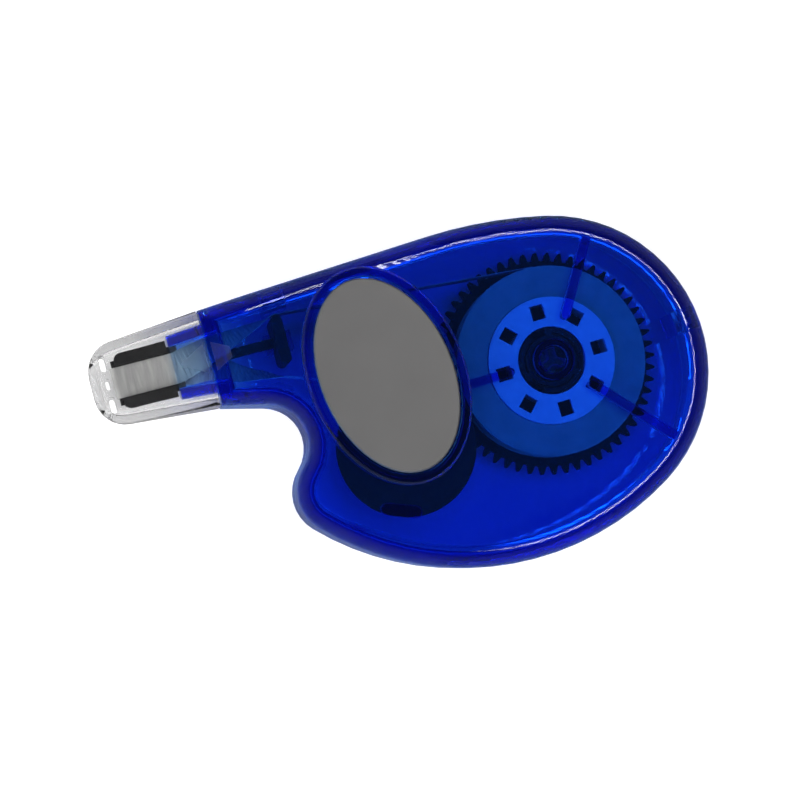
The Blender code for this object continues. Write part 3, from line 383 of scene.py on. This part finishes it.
def place(mesh, node, material):
    """Puts a finished mesh in the place of a CAD node, on that node's body."""
    ob = bpy.data.objects.new(node + "_finished", mesh)
    bpy.context.scene.collection.objects.link(ob)
    mesh.name = ob.name
    mesh.materials.append(material)
    body = next(body for body, nodes in BODIES.items() if node in nodes)
    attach(ob, body)
    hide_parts(node)
    return ob


def add_roof(bm):
    """Adds the roof in the spigot's window to the front shell."""
    mouth_x, nose_y = mouth()
    corners = []
    for x, top in ROOF_ENDS:
        for y in (-ROOF_HALF_WIDTH, ROOF_HALF_WIDTH):
            for z in (top - ROOF_THICKNESS, top):
                corners.append(bm.verts.new((mouth_x + x, nose_y + y, z)))
    hull = bmesh.ops.convex_hull(bm, input=corners)
    faces = [part for part in hull["geom"] if isinstance(part, bmesh.types.BMFace)]
    bmesh.ops.recalc_face_normals(bm, faces=faces)


def refined(node, material):
    """The node's own shape with merged facets, softened edges and even shading."""
    bm = bmesh.new()
    bm.from_mesh(frame["nodes"][node].data)
    if node == "front_shell":
        add_roof(bm)
    bmesh.ops.remove_doubles(bm, verts=bm.verts, dist=MERGE_DISTANCE)
    bmesh.ops.dissolve_limit(bm, angle_limit=FLAT_ANGLE, verts=bm.verts, edges=bm.edges)
    ob = place(smooth_mesh(bm, node), node, material)
    if node in BEVELS:
        bevel = ob.modifiers.new("softened edges", "BEVEL")
        bevel.width = BEVELS[node]
        bevel.segments = BEVEL_SEGMENTS
        bevel.limit_method = "ANGLE"
        bevel.angle_limit = SHARP_ANGLE
    weighted = ob.modifiers.new("even shading", "WEIGHTED_NORMAL")
    weighted.keep_sharp = True
    return ob


def reach_core(ob):
    """Moves a film disc's inner edge in until it all but touches the core."""
    core_low, core_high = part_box("supply_core")
    centre = Vector(((core_low[0] + core_high[0]) / 2, (core_low[1] + core_high[1]) / 2))
    core_radius = (core_high[0] - core_low[0]) / 2
    for vertex in ob.data.vertices:
        spoke = vertex.co.xy - centre
        if spoke.length < core_radius + DISC_GAP:
            spoke.length = core_radius + DISC_HAIR
            vertex.co.xy = centre + spoke


def frost_arrow(ob, forward):
    """Marks the upper faces of the arrow that starts at the mouth and points along forward."""
    mouth_x, nose_y = mouth()
    frost = ob.data.attributes.new("frost", "FLOAT", "FACE")
    for face in ob.data.polygons:
        inside = face.normal.z > UPPER_FACE
        for corner in face.vertices:
            point = ob.data.vertices[corner].co
            along = ((point.x - mouth_x) * forward - ARROW_START) / ARROW_LENGTH
            half = ARROW_BASE / 2 * (1 - along) + ARROW_SLACK
            inside = inside and abs(along - 0.5) < ARROW_REACH and abs(point.y - nose_y) < half
        if inside:
            frost.data[face.index].value = 1.0


def wound(node, material, turns):
    """A long strip wound on itself, in the ring that the node fills."""
    low, high = (Vector(corner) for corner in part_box(node))
    centre = (low + high) / 2
    outer = (high.x - low.x) / 2
    points = [vertex.co for vertex in frame["nodes"][node].data.vertices]
    inner = min(Vector((point.x - centre.x, point.y - centre.y)).length for point in points)
    pitch = (outer - inner) / turns
    strip = pitch * (1 - TURN_SPACE)
    bm = bmesh.new()
    rings = []
    for i in range(TURN_STEPS * (turns - 1) + 1):
        angle = math.tau * i / TURN_STEPS
        near = inner + pitch * i / TURN_STEPS
        far = near + strip
        ring = []
        for radius, z in ((near, low.z), (far, low.z), (far, high.z), (near, high.z)):
            x = centre.x + radius * math.cos(angle)
            y = centre.y + radius * math.sin(angle)
            ring.append(bm.verts.new((x, y, z)))
        rings.append(ring)
    for ring, following in zip(rings, rings[1:]):
        for i in range(4):
            bm.faces.new((ring[i], ring[i - 3], following[i - 3], following[i]))
    bm.faces.new(rings[0][::-1])
    bm.faces.new(rings[-1])
    bmesh.ops.recalc_face_normals(bm, faces=bm.faces)
    return place(smooth_mesh(bm, node), node, material)


# Stage


def floor():
    """A large pale floor, white to the camera and dimmer in reflections."""
    bm = bmesh.new()
    bmesh.ops.create_grid(bm, x_segments=1, y_segments=1, size=FLOOR_REACH)
    mesh = bpy.data.meshes.new("floor")
    bm.to_mesh(mesh)
    bm.free()
    ob = bpy.data.objects.new("floor", mesh)
    bpy.context.scene.collection.objects.link(ob)
    ob.location.z = -FLOOR_DROP
    material, tree, shader = new_material("pale_floor")
    path = tree.nodes.new("ShaderNodeLightPath")
    mirrored = maths(tree, "SUBTRACT", path.outputs["Is Glossy Ray"], path.outputs["Is Transmission Ray"])
    shade = between(tree, mirrored, FLOOR_SHADE, FLOOR_SHADE * FLOOR_SHINE, 0.0, 1.0)
    tree.links.new(shade, shader.inputs["Base Color"])
    shader.inputs["Roughness"].default_value = FLOOR_ROUGHNESS
    shader.inputs["Specular IOR Level"].default_value = 0.0
    shader.inputs["Emission Color"].default_value = WHITE
    glow = maths(tree, "MULTIPLY", path.outputs["Is Transmission Ray"], FLOOR_GLOW)
    glow = maths(tree, "MULTIPLY_ADD", path.outputs["Is Camera Ray"], FLOOR_WHITE, glow)
    tree.links.new(glow, shader.inputs["Emission Strength"])
    mesh.materials.append(material)


def lamps(tree, x, y, z):
    """The ring's strength in a direction: small lamps round half of the zenith."""
    outside = maths(tree, "LESS_THAN", z, math.cos(RING_INNER))
    inside = maths(tree, "GREATER_THAN", z, math.cos(RING_OUTER))
    band = maths(tree, "MULTIPLY", outside, inside)
    turn = maths(tree, "ARCTAN2", y, x)
    past = maths(tree, "MAXIMUM", maths(tree, "SUBTRACT", turn, CLOSE_LAMPS), 0.0)
    count = maths(tree, "MULTIPLY_ADD", maths(tree, "ADD", turn, past), RING_LAMPS / math.tau, RING_LAMPS)
    lit = maths(tree, "LESS_THAN", maths(tree, "FRACT", count), RING_DUTY)
    facing = maths(tree, "COSINE", maths(tree, "SUBTRACT", turn, RING_HEADING))
    near, far = RING_FADE
    weight = between(tree, facing, 0.0, RING_STRENGTH, math.cos(far), math.cos(near))
    return maths(tree, "MULTIPLY", maths(tree, "MULTIPLY", band, lit), weight)


def side_light(tree, x, y):
    """The soft side light's strength in a direction."""
    across = maths(tree, "MULTIPLY", y, math.sin(SIDE_HEADING))
    across = maths(tree, "MULTIPLY_ADD", x, math.cos(SIDE_HEADING), across)
    return between(tree, across, 0.0, SIDE_STRENGTH, *SIDE_EDGE)


def sky():
    """All the light; reflections keep clear of the side light, and the camera itself sees white."""
    world = bpy.data.worlds.new("studio")
    bpy.context.scene.world = world
    world.use_nodes = True
    tree = world.node_tree
    coordinates = tree.nodes.new("ShaderNodeTexCoord")
    axes = tree.nodes.new("ShaderNodeSeparateXYZ")
    tree.links.new(coordinates.outputs["Generated"], axes.inputs["Vector"])
    x, y, z = (axes.outputs[name] for name in "XYZ")
    path = tree.nodes.new("ShaderNodeLightPath")
    dome = between(tree, z, HORIZON, ZENITH, math.cos(FILL_ANGLE), math.cos(DARK_ANGLE))
    through = maths(tree, "MULTIPLY", path.outputs["Is Transmission Ray"], THROUGH)
    strength = maths(tree, "ADD", maths(tree, "MAXIMUM", dome, through), lamps(tree, x, y, z))
    matt = maths(tree, "SUBTRACT", 1.0, path.outputs["Is Glossy Ray"])
    strength = maths(tree, "MULTIPLY_ADD", side_light(tree, x, y), matt, strength)
    background = tree.nodes["Background"]
    background.inputs["Color"].default_value = WHITE
    tree.links.new(strength, background.inputs["Strength"])
    white = tree.nodes.new("ShaderNodeBackground")
    white.inputs["Color"].default_value = WHITE
    mix = tree.nodes.new("ShaderNodeMixShader")
    tree.links.new(path.outputs["Is Camera Ray"], mix.inputs["Fac"])
    tree.links.new(background.outputs["Background"], mix.inputs[1])
    tree.links.new(white.outputs["Background"], mix.inputs[2])
    tree.links.new(mix.outputs["Shader"], tree.nodes["World Output"].inputs["Surface"])


def camera():
    """The photograph's view."""
    right = Vector((math.cos(FRAME_TURN), -math.sin(FRAME_TURN), 0.0))
    up = Vector((math.sin(FRAME_TURN), math.cos(FRAME_TURN), 0.0))
    back = (Vector((0.0, 0.0, 1.0)) - right * LEAN_RIGHT - up * LEAN_UP).normalized()
    across = up.cross(back).normalized()
    top = back.cross(across)
    data = bpy.data.cameras.new("camera")
    data.sensor_width = SENSOR
    data.lens = SENSOR * DISTANCE / FRAME_WIDTH
    data.clip_start = CLIP_START
    ob = bpy.data.objects.new("camera", data)
    bpy.context.scene.collection.objects.link(ob)
    turn = Matrix((across, top, back)).transposed().to_4x4()
    ob.matrix_world = Matrix.Translation(TARGET + back * DISTANCE) @ turn
    bpy.context.scene.camera = ob


bpy.context.scene.view_settings.view_transform = "Standard"
camera()
floor()
sky()

FINISH = finishes()
pieces = {}
for node_name in sorted(frame["nodes"]):
    finish = FINISH[SLOTS[node_name]]
    if node_name in TURNS:
        pieces[node_name] = wound(node_name, finish, TURNS[node_name])
    else:
        pieces[node_name] = refined(node_name, finish)
for disc in ("lower_film_disc", "upper_film_disc"):
    reach_core(pieces[disc])
frost_arrow(pieces["front_shell"], 1)
frost_arrow(pieces["nose_cap"], -1)
